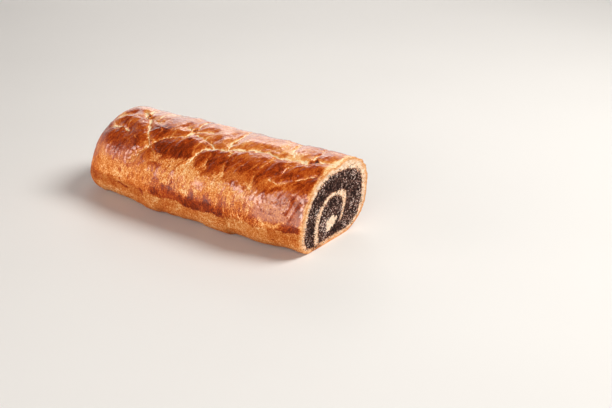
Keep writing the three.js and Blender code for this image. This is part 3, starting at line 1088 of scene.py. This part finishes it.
def drawn_out(value, low, high, kind="LINEAR", start=0.0, end=1.0):
    """A value drawn out from start at low to end at high."""
    reach = {"Value": value, "From Min": low, "From Max": high, "To Min": start, "To Max": end}
    return term(value.tree, "MapRange", "Result", reach, interpolation_type=kind)


def contrasted(value):
    """A noise's middle values drawn out over 0 to 1."""
    return drawn_out(value, 0.3, 0.7)


def opaque(red, green, blue):
    return (red, green, blue, 1.0)


def linear(red, green, blue):
    """Colour given as screen values from 0 to 255."""
    def channel(v):
        v = v / 255
        return v / 12.92 if v <= 0.04045 else ((v + 0.055) / 1.055) ** 2.4
    return opaque(channel(red), channel(green), channel(blue))


def ramp(value, stops, convert=linear):
    """Colour by value, from stops of a value and three colour numbers."""
    made = node(value.tree, "ValToRGB", {"Fac": value})
    elements = made.color_ramp.elements
    while len(elements) < len(stops):
        elements.new(0.5)
    for element, (position, *colour) in zip(elements, stops):
        element.position = position
        element.color = convert(*colour)
    return Term(value.tree, made.outputs["Color"])


def blended(share, under, over, kind="MIX"):
    """A share of one colour over another, mixed or multiplied."""
    inputs = {"Fac": share, "Color1": under, "Color2": over}
    return term(under.tree, "MixRGB", 0, inputs, blend_type=kind)


def multiplied(a, b):
    return blended(1.0, a, b, "MULTIPLY")


def new_material(name):
    material = bpy.data.materials.new(name)
    material.use_nodes = True
    tree = material.node_tree
    return material, tree, tree.nodes["Principled BSDF"]


def bump(height, strength, distance):
    inputs = {"Height": height, "Strength": strength, "Distance": distance * MM}
    return term(height.tree, "Bump", "Normal", inputs)


def crust_material():
    material, tree, shader = new_material("crust")
    spot = coordinates(tree)
    flat = attribute(tree, "unroll", "Vector")
    streak = contrasted(noise_texture(stretched(flat, (0.8, 0.2, 1.0)), 1.0, 4.0, 0.65))
    streak = (streak - 0.5) * attribute(tree, "drawn") + 0.5
    mottle = contrasted(noise_texture(spot, 330.0, 4.0, 0.7))
    fine = contrasted(noise_texture(spot, 1250.0, 2.0, 0.6))
    # Edges of the wash and of the cracks are broken up by the grain
    grain = streak * 0.4 + fine * 0.25 - 0.32
    wash = drawn_out(attribute(tree, "wash") + grain, 0.08, 0.88, "SMOOTHSTEP")
    crack = drawn_out(attribute(tree, "crack") + (fine - 0.5) * 0.4, 0.08, 0.9, "SMOOTHSTEP")
    # Browning: dark where washed, pale where bare or torn, and speckled most where bare
    rough_bare = 1.0 - wash * 0.25
    speckle = (streak * 0.3 + mottle * 0.2 + fine * 0.48 - 0.49) * rough_bare
    bare = attribute(tree, "bare")
    brown = bare + (attribute(tree, "washed") - bare) * wash
    brown = (brown + speckle).larger(0.035)
    # Dark ticks through the painted sheen on the glossy patch by the cut: painted shade of small crinkles,
    # where the coat is gone too
    film = attribute(tree, "film")
    painted_shade_tick = noise_texture(stretched(flat, (0.9, 0.35, 1.0)), 1.0, 2.0, 0.5)
    painted_shade_tick = film * drawn_out(painted_shade_tick, 0.58, 0.68, "SMOOTHSTEP")
    brown = (brown + painted_shade_tick * 0.25 - crack * 0.85).clamped()
    colour = ramp(brown.larger(attribute(tree, "pit")), [
        (0.0, 255, 230, 188),
        (0.06, 246, 190, 122),
        (0.14, 232, 158, 88),
        (0.34, 206, 111, 41),
        (0.58, 167, 61, 7),
        (0.80, 112, 35, 2),
        (1.0, 64, 20, 3),
    ])
    # Painted sheen: the glossy patch's base colour is mixed towards a pinkish white, except on the ticks
    painted_sheen = (film - painted_shade_tick).clamped() * 0.22
    colour = blended(painted_sheen, colour, linear(236, 182, 158))
    shade = ramp(attribute(tree, "shade"), [(0.0, 1, 1, 1), (1.0, 0.68, 0.655, 0.63)], opaque)
    # The glaze of the egg wash is a clear coat, thin or gone where the crust is torn
    glaze = attribute(tree, "glaze") * wash.larger(attribute(tree, "sheen"))
    glaze = glaze * (1.0 - crack.larger(painted_shade_tick))
    ripple = noise_texture(stretched(flat, (0.5, 0.3, 1.0)), 1.0, 2.0, 0.5)
    feed(shader, {
        "Base Color": multiplied(colour, shade),
        "Roughness": 0.7 - wash * 0.2,
        "Specular IOR Level": 0.1,
        "Normal": bump((streak * 0.6 + fine * 0.35) * rough_bare, 0.4, 0.35),
        "Coat Weight": glaze.clamped(),
        "Coat Roughness": 0.09,
        "Coat IOR": 1.75,
        "Coat Normal": bump(ripple * (1.0 - film * 0.65), 0.6, 0.6),
    })
    return material


def crumb_material():
    material, tree, shader = new_material("crumb")
    spot = coordinates(tree)
    soft = noise_texture(spot, 420.0, 4.0, 0.6)
    fibre = contrasted(noise_texture(stretched(spot, (500.0, 330.0, 1150.0)), 1.0, 3.0, 0.7))
    pores = cells(spot, 900.0, "Distance")
    tone = soft * 0.4 + pores * 0.3 + fibre * 0.48 + attribute(tree, "pale") * 0.1
    colour = ramp(tone, [
        (0.2, 182, 130, 96),
        (0.46, 236, 199, 164),
        (0.75, 255, 246, 234),
    ])
    # Browned towards the crust, and stained by the filling along the seams
    depth = attribute(tree, "rim") * 0.3 + fibre * 0.3 - 0.16
    edge = ramp(depth.clamped(), [
        (0.0, 228, 166, 106),
        (0.25, 240, 192, 138),
        (0.8, 252, 240, 226),
    ])
    smear = attribute(tree, "seam") * 0.4 + soft * 0.9 - 0.3
    stain = ramp(smear.clamped(), [
        (0.0, 150, 112, 94),
        (0.3, 222, 192, 176),
        (0.6, 255, 255, 255),
    ])
    colour = multiplied(multiplied(colour, edge), stain)
    relief = bump(tone, 0.5, 0.4)
    feed(shader, {"Base Color": colour, "Roughness": 0.75, "Specular IOR Level": 0.3, "Normal": relief})
    return material


def filling_material():
    material, tree, shader = new_material("poppy_filling")
    spot = coordinates(tree)
    tone = cells(spot, GRAINS, "Color") * noise_texture(spot, 160.0)
    colour = ramp(tone, [
        (0.12, 20, 8, 6),
        (0.34, 58, 32, 25),
        (0.5, 178, 132, 116),
    ])
    relief = bump(cells(spot, GRAINS, "Distance"), 0.6, 0.4)
    feed(shader, {"Base Color": colour, "Roughness": 0.55, "Specular IOR Level": 0.08, "Normal": relief})
    return material


def seed_material():
    material, tree, shader = new_material("poppy_seed")
    colour = ramp(attribute(tree, "tone"), [
        (0.0, 16, 6, 5),
        (0.5, 58, 31, 25),
        (0.76, 130, 88, 76),
        (0.92, 246, 210, 192),
        (1.0, 255, 232, 218),
    ])
    feed(shader, {"Base Color": colour, "Roughness": 0.45, "Specular IOR Level": 0.12})
    return material


def floor_material():
    material, tree, shader = new_material("floor")
    soft = noise_texture(coordinates(tree), 3.0, 2.0)
    colour = ramp(soft, [(0.3, 0.80, 0.79, 0.77), (0.7, 0.83, 0.82, 0.80)], opaque)
    feed(shader, {"Base Color": colour, "Roughness": 0.6})
    return material


def add_floor():
    mesh = bpy.data.meshes.new("floor")
    corners = [(-1, -1, 0), (1, -1, 0), (1, 1, 0), (-1, 1, 0)]
    mesh.from_pydata([Vector(c) * FLOOR_HALF for c in corners], [], [(0, 1, 2, 3)])
    mesh.materials.append(floor_material())
    floor = bpy.data.objects.new("floor", mesh)
    bpy.context.scene.collection.objects.link(floor)


def add_light(name, location, size, power, colour):
    data = bpy.data.lights.new(name, "AREA")
    data.shape = "DISK"
    data.size = size
    data.energy = power
    data.color = colour
    lamp = bpy.data.objects.new(name, data)
    lamp.location = location
    lamp.rotation_euler = (Vector(LIGHT_AIM) - Vector(location)).to_track_quat("-Z", "Y").to_euler()
    lamp.visible_camera = False
    bpy.context.scene.collection.objects.link(lamp)


def add_lights():
    """Studio light that is bright along the horizon and dim overhead, and the lamps."""
    world = bpy.data.worlds.new("studio")
    world.use_nodes = True
    tree = world.node_tree
    background = tree.nodes["Background"]
    height = term(tree, "SeparateXYZ", "Z", {"Vector": coordinates(tree, "Generated")})
    strength = drawn_out(height, 0.02, 0.44, start=1.1, end=0.03)
    feed(background, {"Color": (1.0, 0.95, 0.91, 1), "Strength": strength})
    bpy.context.scene.world = world
    for light in LIGHTS:
        add_light(*light)


def add_camera():
    a, e = CAMERA_AZIMUTH, CAMERA_ELEVATION
    back = np.array([math.sin(a) * math.cos(e), -math.cos(a) * math.cos(e), math.sin(e)])
    right = np.array([math.cos(a), math.sin(a), 0.0])
    up = np.cross(back, right)
    at = AIM + back * CAMERA_DISTANCE + right * CAMERA_RIGHT + up * CAMERA_DOWN - BOX_MIDDLE
    data = bpy.data.cameras.new("camera")
    data.sensor_width = SENSOR
    data.lens = FOCAL_PIXELS / IMAGE_WIDE * SENSOR
    data.clip_start = 0.01
    camera = bpy.data.objects.new("camera", data)
    turn = Matrix([right, up, back]).transposed().to_4x4()
    camera.matrix_world = Matrix.Translation(Vector(at * MM)) @ turn
    bpy.context.scene.collection.objects.link(camera)
    bpy.context.scene.camera = camera


bpy.context.scene.view_settings.view_transform = "Standard"
add_camera()
add_lights()
add_floor()
dough, crumb_cut = make_dough(crust_material(), crumb_material())
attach(dough, "root")
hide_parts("dough")
filling, filling_cut = make_filling(filling_material())
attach(filling, "root")
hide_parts("poppy_filling")
seeds = make_seeds(filling_cut, crumb_cut, seed_material())
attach(seeds, "root")
